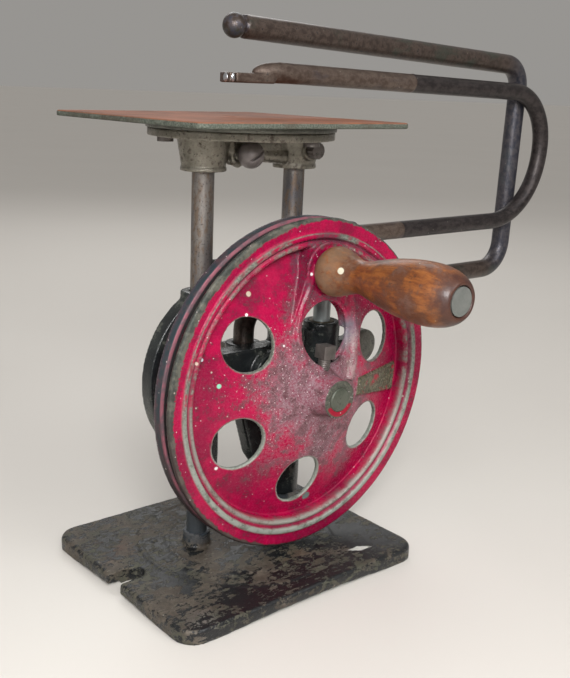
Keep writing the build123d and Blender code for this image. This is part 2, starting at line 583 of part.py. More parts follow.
# ---- write every sub-part -----------------------------------------------------------------
save("base_plate", base_plate())
screw_seat = POST_Y + 16.3
for side, post_x, frame_screw_z in zip(("left", "right"), POST_X, FRAME_SCREW_Z):
    save(f"post_{side}", post(post_x))
    save(f"post_nut_{side}", post_nut(post_x))
    save(f"frame_screw_{side}", square_screw_y(post_x, frame_screw_z, POST_Y + POST_R, screw_seat))
save("frame_casting", frame_casting())
socket_screw_tip = OVERARM_Y + OVERARM_R + SIDE
save("overarm_screw", square_screw_y(OVERARM_X, SOCKET_SCREW_Z, socket_screw_tip, OVERARM_Y + SOCKET_R + 0.3))
save("crank_bush", tube_y(SHAFT_X, SHAFT_Z, BEARING_FRONT, BEARING_BACK, BUSH_R, SHAFT_R + RUN))
save("guide_bush_low", guide_bush(GUIDE_Z[0]))
save("guide_bush_high", guide_bush(GUIDE_Z[1] - GUIDE_BUSH_LENGTH))
save("crank_wheel", crank_wheel())
save("hub_set_screw", hub_set_screw())
save("crankshaft", crankshaft())
save("washer_front", tube_y(SHAFT_X, SHAFT_Z, HUB_BACK, ECC_FRONT, WASHER_R, SHAFT_R))
save("washer_back", tube_y(SHAFT_X, SHAFT_Z, ECC_BACK, BEARING_FRONT - SIDE, WASHER_R, SHAFT_R))
save("eccentric", eccentric())
save("handle_pin", handle_pin())
save("handle_grip", handle_grip())
save("connecting_rod", connecting_rod())
save("wrist_pin", wrist_pin())
save("saw_frame", saw_frame())
save("plunger_rod", plunger_rod())
save("crosshead", crosshead())
head_screw_seat = SAW_Y + HEAD_ARM_R + 0.3
save("crosshead_screw", square_screw_y(HEAD_SCREW_X, SAW_LOW_Z, SAW_Y + SAW_R, head_screw_seat))
save("blade_bar", blade_bar())
for place, bar_x in zip(("inner", "outer", "holder"), (*BAR_SCREW_X, BLADE_X)):
    save(f"bar_screw_{place}", bar_screw(bar_x))
save("blade_holder", blade_holder())
save("overarm", overarm())
save("table_bracket", table_bracket())
save("table_clamp_screw", table_clamp_screw())
save("bracket_screw", bracket_screw())
save("table_plate", table_plate())
save("table_top", table_top())
for number, (screw_x, screw_y) in enumerate(table_screw_places(), start=1):
    save(f"table_screw_{number}", table_screw(screw_x, screw_y))
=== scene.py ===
import json
from math import atan2, cos, pi, radians, sin, tau

import bmesh
import bpy
from mathutils import Matrix, Vector


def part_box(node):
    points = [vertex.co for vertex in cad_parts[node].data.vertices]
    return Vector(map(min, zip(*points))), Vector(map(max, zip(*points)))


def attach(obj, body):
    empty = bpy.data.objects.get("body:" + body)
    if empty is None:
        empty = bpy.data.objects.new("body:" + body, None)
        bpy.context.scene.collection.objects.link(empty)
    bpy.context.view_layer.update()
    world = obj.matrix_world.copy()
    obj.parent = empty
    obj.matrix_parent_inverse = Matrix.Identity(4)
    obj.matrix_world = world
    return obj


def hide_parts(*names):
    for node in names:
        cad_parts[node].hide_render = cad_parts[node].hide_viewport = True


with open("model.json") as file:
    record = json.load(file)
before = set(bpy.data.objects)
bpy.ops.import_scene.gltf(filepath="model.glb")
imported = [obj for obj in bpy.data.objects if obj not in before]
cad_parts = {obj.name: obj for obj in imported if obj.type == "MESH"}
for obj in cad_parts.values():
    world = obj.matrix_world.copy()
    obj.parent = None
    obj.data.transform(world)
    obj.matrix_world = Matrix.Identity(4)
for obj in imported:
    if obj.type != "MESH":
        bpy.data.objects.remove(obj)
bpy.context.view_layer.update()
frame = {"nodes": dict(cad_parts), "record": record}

MM = 0.001
NODES = frame["nodes"]
BEHAVIOUR = frame["record"]["behaviour"]
BODY_OF = {node: body for body, members in BEHAVIOUR["bodies"].items() for node in members}
SLOT_OF = {part["node"]: part["material_slot"] for part in frame["record"]["subparts"]}


def middle(node):
    """Centre of a CAD node's box."""
    low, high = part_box(node)
    return (low + high) / 2


# ---- places in metres, all worked out from the frame ----------------------------------------
SHAFT = middle("crankshaft")
HUB_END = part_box("crank_wheel")[0].y
GRIP_LOW, GRIP_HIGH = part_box("handle_grip")
GRIP = middle("handle_grip")
ARM = (GRIP - SHAFT) * Vector((1, 0, 1))
ARM_OUT = ARM.normalized()
ARM_ANGLE = atan2(ARM_OUT.z, ARM_OUT.x)
ARM_SIDE = Vector((-ARM_OUT.z, 0, ARM_OUT.x))       # towards the wheel's left, seen from the front
BASE_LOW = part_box("base_plate")[0]
TABLE_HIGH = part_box("table_top")[1]
CLAMP = middle("table_clamp_screw")
BRACKET_LOW, BRACKET_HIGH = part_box("table_bracket")
SAW_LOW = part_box("saw_frame")[0]
POST_LEFT, POST_RIGHT = middle("post_left"), middle("post_right")

# ---- places and sizes in millimetres --------------------------------------------------------
# Radii on the wheel: its round openings, a ring, a groove, a bead, a thin line and the rim.
HOLE_RING, HOLE_R = 57.4, 15.4
RING_R, GROOVE_R, BEAD_R, LINE_R, RIM_R = 84.9, 87.6, 90.1, 91.2, 98.4
HUB_R, CRESCENT_R = 12, 8.5
# Y just behind all the wheel's front faces, at its rim's back and in its belt groove's middle.
FRONT_Y, RIM_BACK_Y, BELT_Y = -20.5, -26.2, -28.2
HOLE_PITCH = radians(60)                            # angle from one opening to the next
WEB_Y, WEB_SLOPE = -33.4, 0.3                       # the web's front at HOLE_RING, and its cone
LIP_Y, RIB_Y = -37.4, -37.3                         # centre lines of the lips and ribs on the arm
# Points beside the crank arm are given out along it and across to its left.
RIB_RIGHT = ((6, -21), (18, -26), (32, -27), (46, -23), (60, -18), (74, -12))
RIB_LEFT = ((18, 15), (34, 20), (48, 17), (60, 12.5), (74, 10.5))
RIB_RIGHT_R, RIB_LEFT_R, RIB_RAISED = 2.9, 1.9, 0.2
WINDOW, WINDOW_SIZE, WINDOW_LIP_R = (34.2, -2.6), (19.6, 19.1), 1.5
WINDOW_ARC = range(-150, -20, 10)                   # degrees of its edge that have a lip
BOSS_R, BOSS_LIP_R = 15.2, 1.3
# Points on the plaque are given along it from the shaft and across it.
PLAQUE_MIDDLE, PLAQUE_REACH = 56, 23.4
PLAQUE_START, PLAQUE_HALF, PLAQUE_FLARE = 33, 5.7, 4 / 46
PLAQUE_RAISED, BORDER_R, DIAMOND_R = 1.5, 0.75, 0.6
BORDER = ((34.6, 4.6), (77.6, 8.1), (77.6, -8.1), (34.6, -4.6), (34.6, 4.6))
DIAMONDS, DIAMOND_START, DIAMOND_STEP = 5, 41, 8
SCREW_NECK_R = 3.4                                  # the hub set screw's neck
THREADS, THREAD_START, THREAD_STEP, THREAD_R = 6, 13.2, 1.2, 0.42
SCREW_RIBS, SCREW_RIB_RING, SCREW_RIB_R, SCREW_RIB_ENDS = 14, 4.5, 0.5, (0.5, 5.2)
BALL = (5.7, middle("overarm").y / MM, 315.2)       # the ball on the overarm's end
LUG = (108.0, 4.0, 118.5)                           # the round lug on the casting's right arm
# The saw frame's upper leg: a point on its axis and how it droops, and the end of its sleeve.
SAW_AXIS_X, SAW_AXIS_Z, SAW_DROOP = 44.4, 290.4, 0.0247
SAW_LAP, SLEEVE_R, SLEEVE_WAVE, SLEEVE_LIP_R = 139.6, 5.55, 1.6, 0.55
# The swelling of its shoulder: x, drop below the axis and radius.
SHOULDER = ((13, 1.0, 3.6), (17, 1.3, 4.6), (23, 0.8, 5.3), (30, 0.3, 5.6), (40, 0.0, 5.6))
SHOULDER_SIDES, SLEEVE_SIDES = 28, 10
# Studs on the saw frame's tab: height, offset from the tab's end and half size.
STUD_Z = 287.3
STUDS = (((0.2, -0.5), (0.8, 2.2, 2.4)), ((1.7, -5.0), (1.2, 0.8, 2.4)))
GRIP_DROP, GRIP_DROP_R = (-10.3, -58.0, 3.6), 1.9   # the drop on the grip, from its axis
SPLASH = (54.2, -55.8)                              # the pale splash on the base
SPLASH_COS, SPLASH_SIN = 0.96, 0.28                 # its slant
# Where the base's paint lasts longest: place, radius, soft edge and weight.
PAINT_LEFT = (
    ((-40, -62, 9), 10, 18, 0.075),
    ((-8, -68, 9), 12, 22, 0.060),
    ((70, -52, 9), 14, 22, 0.050),
    ((60, -38, 9), 12, 16, 0.045),
    ((-66, -30, 9), 8, 16, 0.050),
)
# Paint drops on the wheel: across, up, radius and colour.
PAINT_DROPS = (
    (-19.6, 174.5, 1.45, (0.42, 0.36, 0.27)),
    (-40.4, 125.6, 1.30, (0.22, 0.50, 0.36)),
    (-22.2, 163.4, 0.85, (0.75, 0.75, 0.75)),
    (-49.7, 141.2, 0.90, (0.50, 0.56, 0.60)),
    (-57.4, 141.8, 0.85, (0.52, 0.42, 0.34)),
    (-39.1, 75.8, 1.00, (0.70, 0.68, 0.66)),
    (17.0, 183.7, 0.80, (0.75, 0.72, 0.72)),
    (-1.2, 144.7, 0.60, (0.70, 0.66, 0.66)),
)
UNEVEN_SIZE = 9                                     # size of the slight unevenness of castings


# ---- small building helpers -----------------------------------------------------------------
def circle(count):
    """Angles of count points evenly round a circle."""
    return [tau * k / count for k in range(count)]


def new_object(name, bm):
    """Object from a bmesh."""
    mesh = bpy.data.meshes.new(name)
    bm.to_mesh(mesh)
    bm.free()
    piece = bpy.data.objects.new(name, mesh)
    bpy.context.scene.collection.objects.link(piece)
    return piece


def merge(bm, extras):
    """Adds other bmeshes to bm, and frees them."""
    for extra in extras:
        mesh = bpy.data.meshes.new("extra")
        extra.to_mesh(mesh)
        extra.free()
        bm.from_mesh(mesh)
        bpy.data.meshes.remove(mesh)
    return bm


def rope(points, radius, sides=12, closed=False):
    """Closed tube through points, as a bmesh.  radius is a number or one number per point."""
    bm = bmesh.new()
    points = [Vector(p) for p in points]
    radii = radius if isinstance(radius, (list, tuple)) else [radius] * len(points)
    rings = []
    for i, point in enumerate(points):
        before = points[i - 1] if i or closed else point
        after = points[(i + 1) % len(points)] if i + 1 < len(points) or closed else point
        turn = (after - before).normalized().to_track_quat("Z", "Y")
        ring = []
        for angle in circle(sides):
            spoke = turn @ Vector((cos(angle), sin(angle), 0))
            ring.append(bm.verts.new(point + spoke * radii[i]))
        rings.append(ring)
    pairs = list(zip(rings, rings[1:]))
    if closed:
        pairs.append((rings[-1], rings[0]))
    for a, b in pairs:
        for k in range(sides):
            bm.faces.new((a[k], a[(k + 1) % sides], b[(k + 1) % sides], b[k]))
    if not closed:
        bm.faces.new(list(reversed(rings[0])))
        bm.faces.new(rings[-1])
    return bm


def ball(centre, radius, stretch):
    """Ellipsoid as a bmesh."""
    bm = bmesh.new()
    bmesh.ops.create_uvsphere(bm, u_segments=32, v_segments=20, radius=radius)
    bmesh.ops.scale(bm, vec=stretch, verts=bm.verts)
    bmesh.ops.translate(bm, vec=centre, verts=bm.verts)
    return bm


def arm_point(along, across, y):
    """Point on the wheel at millimetres out along the crank arm and across to its left."""
    place = SHAFT + ARM_OUT * (along * MM) + ARM_SIDE * (across * MM)
    return Vector((place.x, y * MM, place.z))


def arm_spot(along, across, y):
    """The same point in millimetres, for a pattern."""
    return tuple(arm_point(along, across, y) / MM)


def web_y(along, across):
    """Y in millimetres of the front face of the wheel's web."""
    return WEB_Y + WEB_SLOPE * ((along ** 2 + across ** 2) ** 0.5 - HOLE_RING)


def soften(node, voxel, rounds, keep, wobble, extras):
    """Replaces a CAD node by a finely remeshed copy with eased edges and slight unevenness."""
    bm = bmesh.new()
    bm.from_mesh(NODES[node].data)
    piece = new_object(node + "_finished", merge(bm, extras))
    remesh = piece.modifiers.new("remesh", "REMESH")
    remesh.mode = "VOXEL"
    remesh.voxel_size = voxel * MM
    smooth = piece.modifiers.new("smooth", "SMOOTH")
    smooth.factor = 0.5
    smooth.iterations = rounds
    if wobble:
        clouds = bpy.data.textures.new(node + "_clouds", "CLOUDS")
        clouds.noise_scale = UNEVEN_SIZE * MM
        uneven = piece.modifiers.new("uneven", "DISPLACE")
        uneven.texture = clouds
        uneven.strength = wobble * MM
        uneven.mid_level = 0.5
    if keep < 1:
        fewer = piece.modifiers.new("fewer", "DECIMATE")
        fewer.ratio = keep
    graph = bpy.context.evaluated_depsgraph_get()
    rough = piece.data
    piece.data = bpy.data.meshes.new_from_object(piece.evaluated_get(graph))
    piece.modifiers.clear()
    bpy.data.meshes.remove(rough)
    piece.data.shade_smooth()
    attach(piece, BODY_OF[node])
    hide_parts(node)
    return piece


def paint(target, material):
    """Gives an object one material."""
    target.data.materials.clear()
    target.data.materials.append(material)
    target.data.polygons.foreach_set("material_index", [0] * len(target.data.polygons))


# ---- material helper ------------------------------------------------------------------------
class Look:
    """One procedural material.  Its patterns are sized in millimetres, in object coordinates."""

    def __init__(self, name):
        self.material = bpy.data.materials.new(name)
        self.material.use_nodes = True
        self.tree = self.material.node_tree
        self.shader = self.tree.nodes["Principled BSDF"]
        coordinates = self.tree.nodes.new("ShaderNodeTexCoord")
        scale = self.tree.nodes.new("ShaderNodeVectorMath")
        scale.operation = "SCALE"
        scale.inputs["Scale"].default_value = 1 / MM
        self.tree.links.new(coordinates.outputs["Object"], scale.inputs[0])
        self.place = scale.outputs[0]
        split = self.tree.nodes.new("ShaderNodeSeparateXYZ")
        self.tree.links.new(self.place, split.inputs[0])
        self.x, self.y, self.z = split.outputs

    def feed(self, value, socket):
        """Links a socket, or sets a plain value."""
        if isinstance(value, bpy.types.NodeSocket):
            self.tree.links.new(value, socket)
        elif isinstance(value, (tuple, list)) and len(value) == 3 and socket.type == "RGBA":
            socket.default_value = (*value, 1)
        else:
            socket.default_value = value

    def math(self, operation, *values):
        """One Math node."""
        node = self.tree.nodes.new("ShaderNodeMath")
        node.operation = operation
        for value, socket in zip(values, node.inputs):
            self.feed(value, socket)
        return node.outputs[0]

    def fold(self, operation, values):
        """The same operation over several values."""
        result = values[0]
        for value in values[1:]:
            result = self.math(operation, result, value)
        return result

    def total(self, *values):
        """Sum of several values."""
        return self.fold("ADD", values)

    def times(self, *values):
        """Product of several values."""
        return self.fold("MULTIPLY", values)

    def most(self, *values):
        """Largest of several values."""
        return self.fold("MAXIMUM", values)

    def minus(self, a, b):
        """a less b."""
        return self.math("SUBTRACT", a, b)

    def size(self, value):
        """The value without its sign."""
        return self.math("ABSOLUTE", value)

    def blend(self, *pairs):
        """Sum of values, each times its weight."""
        return self.total(*[self.times(value, weight) for value, weight in pairs])

    def length(self, a, b):
        """Length of a flat step of a one way and b the other."""
        return self.math("SQRT", self.blend((a, a), (b, b)))

    def noise(self, size, detail=5, rough=0.6, stretch=None):
        """Cloudy value around 0.5 whose features are about size millimetres."""
        node = self.tree.nodes.new("ShaderNodeTexNoise")
        node.inputs["Scale"].default_value = 1 / size
        node.inputs["Detail"].default_value = detail
        node.inputs["Roughness"].default_value = rough
        place = self.place
        if stretch:
            squeeze = self.tree.nodes.new("ShaderNodeVectorMath")
            squeeze.operation = "DIVIDE"
            squeeze.inputs[1].default_value = stretch
            self.tree.links.new(place, squeeze.inputs[0])
            place = squeeze.outputs[0]
        self.tree.links.new(place, node.inputs["Vector"])
        return node.outputs["Fac"]

    def specks(self, spacing, radius, share):
        """1 inside small scattered dots, 0 elsewhere.  share is the part of cells with a dot."""
        node = self.tree.nodes.new("ShaderNodeTexVoronoi")
        node.inputs["Scale"].default_value = 1 / spacing
        self.tree.links.new(self.place, node.inputs["Vector"])
        near = self.step(node.outputs["Distance"], radius / spacing, 0.6 * radius / spacing)
        split = self.tree.nodes.new("ShaderNodeSeparateColor")
        self.tree.links.new(node.outputs["Color"], split.inputs[0])
        return self.times(near, self.math("LESS_THAN", split.outputs[0], share))

    def step(self, value, low, high):
        """0 below low, 1 above high and smooth between.  low may be the larger one."""
        node = self.tree.nodes.new("ShaderNodeMapRange")
        node.interpolation_type = "SMOOTHSTEP"
        if low > high:
            node.inputs["To Min"].default_value = 1.0
            node.inputs["To Max"].default_value = 0.0
            low, high = high, low
        self.feed(value, node.inputs["Value"])
        node.inputs["From Min"].default_value = low
        node.inputs["From Max"].default_value = high
        return node.outputs["Result"]

    def band(self, value, centre, half, soft=0.5):
        """1 where value is within half of centre."""
        return self.step(self.size(self.minus(value, centre)), half + soft, half - soft)

    def blob(self, centre, radius, soft):
        """1 near a point given in millimetres."""
        node = self.tree.nodes.new("ShaderNodeVectorMath")
        node.operation = "DISTANCE"
        self.tree.links.new(self.place, node.inputs[0])
        node.inputs[1].default_value = centre
        return self.step(node.outputs["Value"], radius + soft, radius - soft)

    def mix(self, share, a, b):
        """Colour or value a, changing to b as share goes to 1."""
        node = self.tree.nodes.new("ShaderNodeMix")
        plain = [isinstance(v, (int, float)) or getattr(v, "type", "") == "VALUE" for v in (a, b)]
        node.data_type, first, result = ("FLOAT", 2, 0) if all(plain) else ("RGBA", 6, 2)
        self.feed(share, node.inputs[0])
        self.feed(a, node.inputs[first])
        self.feed(b, node.inputs[first + 1])
        return node.outputs[result]

    def over(self, colour, tone, *shares):
        """colour with tone over it, as far as the product of the shares."""
        return self.mix(self.times(*shares), colour, tone)

    def finish(self, colour, rough, metal=0.0, height=None, depth=0.2, coat=0.0, specular=0.5):
        """Connects the shader.  depth is the relief in millimetres of a height from 0 to 1."""
        self.feed(colour, self.shader.inputs["Base Color"])
        self.feed(rough, self.shader.inputs["Roughness"])
        self.feed(metal, self.shader.inputs["Metallic"])
        self.shader.inputs["Specular IOR Level"].default_value = specular
        if coat:
            self.shader.inputs["Coat Weight"].default_value = coat
            self.shader.inputs["Coat Roughness"].default_value = 0.12
        if height is not None:
            bump = self.tree.nodes.new("ShaderNodeBump")
            bump.inputs["Distance"].default_value = depth * MM
            self.feed(height, bump.inputs["Height"])
            self.tree.links.new(bump.outputs[0], self.shader.inputs["Normal"])
        return self.material


# ---- materials ------------------------------------------------------------------------------
def aged_metal(name, main, other, stain, metal, rough, stain_share=0.5, stretch=None, pit=0.12):
    """Handled bare or thinly finished metal: cloudy tone, stains, fine pits and bright scuffs."""
    look = Look(name)
    broad = look.noise(16, 4, 0.6, stretch)
    medium = look.noise(3.6, 6, 0.7, stretch)
    fine = look.noise(0.8, 4, 0.7)
    cloud = look.blend((broad, 0.6), (medium, 0.4))
    tone = look.mix(look.step(cloud, 0.36, 0.64), main, other)
    stains = look.blend((medium, 0.75), (broad, 0.35))
    stained = look.step(stains, 0.78 - 0.35 * stain_share, 0.9 - 0.3 * stain_share)
    colour = look.mix(stained, tone, stain)
    scuff = tuple(min(1.0, c * 2.2 + 0.05) for c in main)
    colour = look.over(colour, scuff, look.step(fine, 0.62, 0.72), 0.35)
    roughness = look.total(rough - 0.1, look.times(stained, 0.18), look.times(medium, 0.2))
    shine = look.total(metal, look.times(stained, -0.5 * metal))
    height = look.blend((medium, 0.7), (fine, 0.5))
    return look.finish(colour, roughness, shine, height, pit)


class WheelLook(Look):
    """Worn crimson enamel of the crank wheel, dusty in the middle and bare on its raised lines."""

    def __init__(self):
        super().__init__("worn_red_enamel")
        self.across = self.minus(self.x, SHAFT.x / MM)
        self.up = self.minus(self.z, SHAFT.z / MM)
        self.reach = self.length(self.across, self.up)
        self.turn = self.math("ARCTAN2", self.up, self.across)
        self.low = self.step(self.up, 30, -55)
        self.front = self.step(self.y, FRONT_Y, FRONT_Y - 1.5)
        self.broad = self.noise(34, 3, 0.55)
        self.medium = self.noise(7.5, 6, 0.68)
        self.fine = self.noise(1.5, 5, 0.72)
        self.grit = self.noise(0.5, 3, 0.7)
        self.ragged = self.total(self.times(self.medium, 3.4), self.times(self.fine, 2.2), -2.8)
        hubness = self.step(self.reach, 92, 6)
        corner = self.blob(arm_spot(-42, -34, -36), 22, 26)
        self.dusty = self.blend((self.medium, 0.40), (self.fine, 0.34), (self.broad, 0.50),
                                (hubness, 0.42), (corner, 0.12))
        self.dust = self.step(self.dusty, 0.80, 1.02)
        self.chipped = self.chips()

    def uneven_reach(self, share):
        """Distance from the shaft, so uneven that a line drawn at a radius comes out ragged."""
        return self.total(self.reach, self.times(self.ragged, share))

    def hole_lips(self):
        """Bare edges of the round openings, but not of the window in the crank arm."""
        sector = self.math("DIVIDE", self.minus(self.turn, ARM_ANGLE), HOLE_PITCH)
        local = self.times(self.minus(sector, self.math("ROUND", sector)), HOLE_PITCH)
        off_x = self.minus(self.times(self.reach, self.math("COSINE", local)), HOLE_RING)
        off_z = self.times(self.reach, self.math("SINE", local))
        from_hole = self.total(self.length(off_x, off_z), self.times(self.ragged, 0.6),
                               self.times(self.low, -0.5))
        not_arm = self.step(self.size(sector), 0.45, 0.55)
        return self.times(self.band(from_hole, HOLE_R - 0.4, 0.9), not_arm)

    def chips(self):
        """1 where the enamel has gone: raised lines, the rim, the openings' edges and flakes."""
        medium, low = self.medium, self.low
        broken = self.total(self.broad, self.times(medium, 0.5), self.times(low, 0.5))
        bead = self.times(self.band(self.uneven_reach(0.3), BEAD_R, 1.75),
                          self.step(broken, 0.70, 0.84))
        line = self.band(self.uneven_reach(0.12), LINE_R, 0.35, 0.3)
        ring = self.times(self.band(self.uneven_reach(0.35), RING_R, 1.5, 0.8),
                          self.step(self.total(medium, self.times(low, 0.3)), 0.42, 0.6))
        left = self.step(self.across, 25, -60)
        rim = self.total(RIM_R, self.times(left, -2.6), self.times(low, 1.4))
        rim = self.step(self.minus(self.uneven_reach(1.5), rim), 0.0, 0.5)
        worn = self.most(bead, self.times(line, 0.8), self.times(ring, 0.85), rim,
                         self.hole_lips())
        flakes = self.step(self.blend((self.fine, 0.55), (medium, 0.6)), 0.755, 0.795)
        return self.most(self.times(worn, self.front), self.times(flakes, 0.7))

    def enamel(self):
        """Crimson under dust, grime, pale grit and dirt."""
        medium, fine, broad, dusty = self.medium, self.fine, self.broad, self.dusty
        colour = self.mix(self.step(medium, 0.36, 0.64), (0.33, 0.001, 0.042),
                          (0.225, 0.001, 0.033))
        colour = self.over(colour, (0.15, 0.002, 0.026), self.step(broad, 0.48, 0.62), 0.7)
        dust = self.mix(self.step(fine, 0.40, 0.58), (0.15, 0.050, 0.070), (0.225, 0.150, 0.170))
        colour = self.over(colour, dust, self.dust, 0.85)
        grime = self.step(self.total(medium, self.times(self.grit, 0.3)), 0.64, 0.72)
        colour = self.over(colour, (0.105, 0.055, 0.058), grime, self.step(dusty, 0.72, 0.92),
                           0.6)
        pepper = self.step(self.grit, 0.58, 0.66)
        colour = self.over(colour, (0.42, 0.36, 0.37), pepper, self.step(dusty, 0.70, 0.98), 0.75)
        dirt = self.step(self.blend((fine, 0.5), (medium, 0.5), (broad, 0.12)), 0.60, 0.66)
        return self.over(colour, (0.075, 0.016, 0.024), dirt, 0.75)

    def bare_iron(self):
        """Grey-green iron where the enamel has gone, darker on the rim and reddish low down."""
        medium, low = self.medium, self.low
        bare = self.mix(self.step(self.fine, 0.4, 0.6), (0.085, 0.095, 0.075),
                        (0.21, 0.215, 0.185))
        bare = self.over(bare, (0.27, 0.285, 0.25), low, self.step(medium, 0.36, 0.52))
        rim = self.mix(self.step(medium, 0.44, 0.60), (0.030, 0.034, 0.030),
                       (0.105, 0.100, 0.080))
        rim = self.over(rim, (0.050, 0.018, 0.018), low, 0.7)
        return self.over(bare, rim, self.step(self.reach, 93.5, 94.5), 0.9)

    def groove(self, colour):
        """Mauve in the groove inside the bead, and a patch of patina beside the shaft."""
        patina = self.blob(arm_spot(-72, -13, -29), 4.5, 4.0)
        patina = self.step(self.total(patina, self.times(self.medium, 0.9)), 1.12, 1.3)
        colour = self.over(colour, (0.115, 0.165, 0.15), patina, self.front)
        groove = self.times(self.band(self.uneven_reach(0.15), GROOVE_R, 0.7, 0.5), self.front)
        mauve = self.mix(self.step(self.medium, 0.4, 0.6), (0.07, 0.012, 0.026),
                         (0.17, 0.035, 0.06))
        return self.over(colour, mauve, groove, self.total(0.9, self.times(self.low, -0.55)))

    def plaque(self, colour):
        """Verdigris on the raised plaque beside the crank arm."""
        side = self.minus(self.turn, ARM_ANGLE - pi / 2)
        off = self.size(self.times(self.reach, self.math("SINE", side)))
        out = self.times(self.reach, self.math("COSINE", side))
        half = self.total(PLAQUE_HALF, self.times(self.minus(out, PLAQUE_START), PLAQUE_FLARE))
        inside = self.times(self.math("LESS_THAN", off, half),
                            self.band(out, PLAQUE_MIDDLE, PLAQUE_REACH, 0.4), self.front)
        tone = self.mix(self.step(self.fine, 0.42, 0.6), (0.045, 0.044, 0.028),
                        (0.125, 0.110, 0.070))
        tone = self.over(tone, (0.25, 0.015, 0.03), self.step(self.medium, 0.56, 0.62))
        return self.over(colour, tone, inside)

    def rim(self, colour):
        """Slate behind the rim, and worn pink walls in its belt groove with painted black shade at
        the groove's bottom.
        """
        back = self.times(self.step(self.y, RIM_BACK_Y, RIM_BACK_Y + 0.8),
                          self.step(self.reach, RING_R - 0.9, RING_R + 1.1))
        slate = self.total(self.medium, self.times(self.broad, 0.4))
        slate = self.mix(self.step(slate, 0.66, 0.9), (0.028, 0.043, 0.052),
                         (0.085, 0.046, 0.056))
        colour = self.over(colour, slate, back, 0.92)
        wall = self.times(self.band(self.y, BELT_Y, 3.2, 0.3), self.step(self.reach, 92, 93))
        tone = self.mix(self.step(self.medium, 0.4, 0.62), (0.26, 0.085, 0.11),
                        (0.11, 0.075, 0.085))
        # Painted black shade deep in the belt groove, next to the front flange's edge.
        painted_groove_shade = self.step(self.uneven_reach(0.2), RIM_R - 0.1, RIM_R - 0.9)
        tone = self.over(tone, (0.008, 0.007, 0.008), painted_groove_shade)
        return self.over(colour, tone, wall, 0.9)

    def hub(self, colour):
        """Grey-green hub face with a crescent of enamel at its foot."""
        face = self.times(self.step(self.y, HUB_END / MM + 0.9, HUB_END / MM + 0.4),
                          self.step(self.reach, HUB_R, HUB_R - 0.6))
        crescent = self.step(self.total(self.up, self.times(self.fine, 3)), -1.5, -2.8)
        crescent = self.times(self.band(self.reach, CRESCENT_R, 1.5, 0.5), crescent)
        tone = self.mix(self.step(self.fine, 0.4, 0.62), (0.042, 0.045, 0.035),
                        (0.095, 0.093, 0.074))
        return self.over(colour, self.over(tone, (0.24, 0.003, 0.018), crescent), face)

    def raised_parts(self, colour):
        """A near-black band on the outermost rim, strongest low down; a painted blue-grey
        highlight on the window's wall; paler grey-mauve on the ridge by the hub; and a dark mauve
        ring round the boss.
        """
        fine = self.fine
        # Near-black band on the outermost rim, strongest low down.
        outermost = self.step(self.uneven_reach(0.15), RIM_R + 0.5, RIM_R + 1.1)
        colour = self.over(colour, (0.022, 0.012, 0.012), outermost, self.low, 0.85)
        # Painted blue-grey highlight on the window's inner wall, where it faces the light.
        painted_window_wall_highlight = self.blob(arm_spot(34, -21.5, -37), 9, 6)
        colour = self.over(colour, (0.16, 0.165, 0.20), painted_window_wall_highlight, 0.8)
        ridge = self.most(self.blob(arm_spot(28, -27, -42), 7, 5),
                          self.blob(arm_spot(12, -24, -44), 6, 5))
        colour = self.over(colour, (0.30, 0.22, 0.21), ridge, self.step(fine, 0.38, 0.55), 0.75)
        boss = self.length(self.minus(self.x, GRIP.x / MM), self.minus(self.z, GRIP.z / MM))
        boss = self.band(boss, BOSS_R + 2.3, 3.2, 2.0)
        return self.over(colour, (0.085, 0.028, 0.045), boss, self.step(fine, 0.36, 0.56), 0.8)

    def splashes(self, colour):
        """Small specks all over, and the larger paint drops on the front."""
        colour = self.over(colour, (0.36, 0.31, 0.26), self.specks(9, 0.75, 0.25))
        colour = self.over(colour, (0.46, 0.38, 0.37), self.specks(3.4, 0.42, 0.40))
        colour = self.over(colour, (0.55, 0.49, 0.48), self.specks(1.7, 0.34, 0.45),
                           self.step(self.dusty, 0.66, 0.95))
        facing = self.step(self.y, FRONT_Y + 0.5, FRONT_Y - 0.5)
        for x, z, radius, tint in PAINT_DROPS:
            off = self.length(self.minus(self.x, x), self.minus(self.z, z))
            drop = self.step(off, radius + 0.3, radius - 0.3)
            colour = self.over(colour, tint, drop, facing)
        return colour

    def build(self):
        """The finished material."""
        colour = self.mix(self.chipped, self.enamel(), self.bare_iron())
        for layer in (self.groove, self.plaque, self.rim, self.hub, self.raised_parts,
                      self.splashes):
            colour = layer(colour)
        worn = self.most(self.dust, self.chipped)
        roughness = self.total(0.20, self.times(worn, 0.26), self.times(self.fine, 0.14))
        height = self.blend((self.medium, 0.6), (self.fine, 0.5), (self.chipped, -0.5))
        return self.finish(colour, roughness, self.times(self.chipped, 0.2), height, 0.22,
                           specular=0.25)


def base_splash(look, medium, fine):
    """1 on the pale splash on the base, a slanted smear with ragged edges."""
    x, y = look.minus(look.x, SPLASH[0]), look.minus(look.y, SPLASH[1])
    lengthwise = look.size(look.blend((x, SPLASH_COS), (y, -SPLASH_SIN)))
    sideways = look.size(look.blend((x, SPLASH_SIN), (y, SPLASH_COS)))
    reach = look.total(look.times(lengthwise, 0.36), sideways, look.times(medium, 3.2),
                       look.times(fine, 2.4), -2.8)
    return look.times(look.step(reach, 3.3, 2.8), look.step(look.z, 8.5, 8.9))


